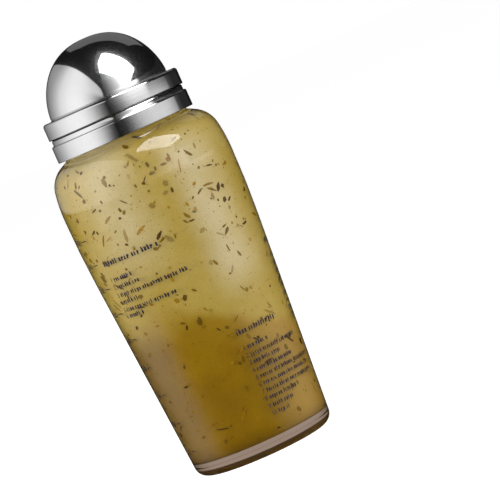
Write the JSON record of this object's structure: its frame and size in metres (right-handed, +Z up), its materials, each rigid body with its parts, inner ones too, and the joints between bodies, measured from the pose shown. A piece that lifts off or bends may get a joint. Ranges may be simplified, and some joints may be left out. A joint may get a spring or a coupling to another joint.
{
  "type": "dressing shaker bottle",
  "caption": "Tapered glass shaker bottle for salad dressing, with a steel screw collar, a pouring insert with a spout, and a pull-off steel dome cap.",
  "frame": {"origin": "centre of the bottle's foot, on the surface it stands on and on its axis", "axes": "+Z up along the bottle's axis; the printed front faces -Y; +X to the right of the front"},
  "size_m": [0.083, 0.083, 0.2047],
  "materials": {
    "clear_glass": "clear pressed glass, polished",
    "polished_steel": "stainless steel, polished",
    "white_plastic": "moulded, satin",
    "silicone": "translucent grey, matte"
  },
  "bodies": {
    "bottle": {"bottle": "clear_glass"},
    "insert": {"pouring_insert": "white_plastic", "neck_seal": "silicone"},
    "collar": {"collar_core": "white_plastic", "collar_shell": "polished_steel"},
    "cap": {"cap_ring": "polished_steel", "cap_dome": "polished_steel", "cap_liner": "white_plastic", "cap_o_ring": "silicone", "cap_stopper": "silicone"}
  },
  "joints": [
    {"name": "collar_rise", "type": "slide", "parent": "bottle", "child": "insert", "axis": [0, 0, 1], "range_m": [0, 0.012]},
    {"name": "collar_turn", "type": "hinge", "parent": "insert", "child": "collar", "pos_m": [0, 0, 0.161], "axis": [0, 0, 1], "range_deg": [0, 1080]},
    {"name": "cap_lift", "type": "slide", "parent": "collar", "child": "cap", "axis": [0, 0, 1], "range_m": [0, 0.04]}
  ],
  "couplings": [
    {"joint": "collar_rise", "follows": "collar_turn", "m_per_rad": 0.0006366}
  ]
}
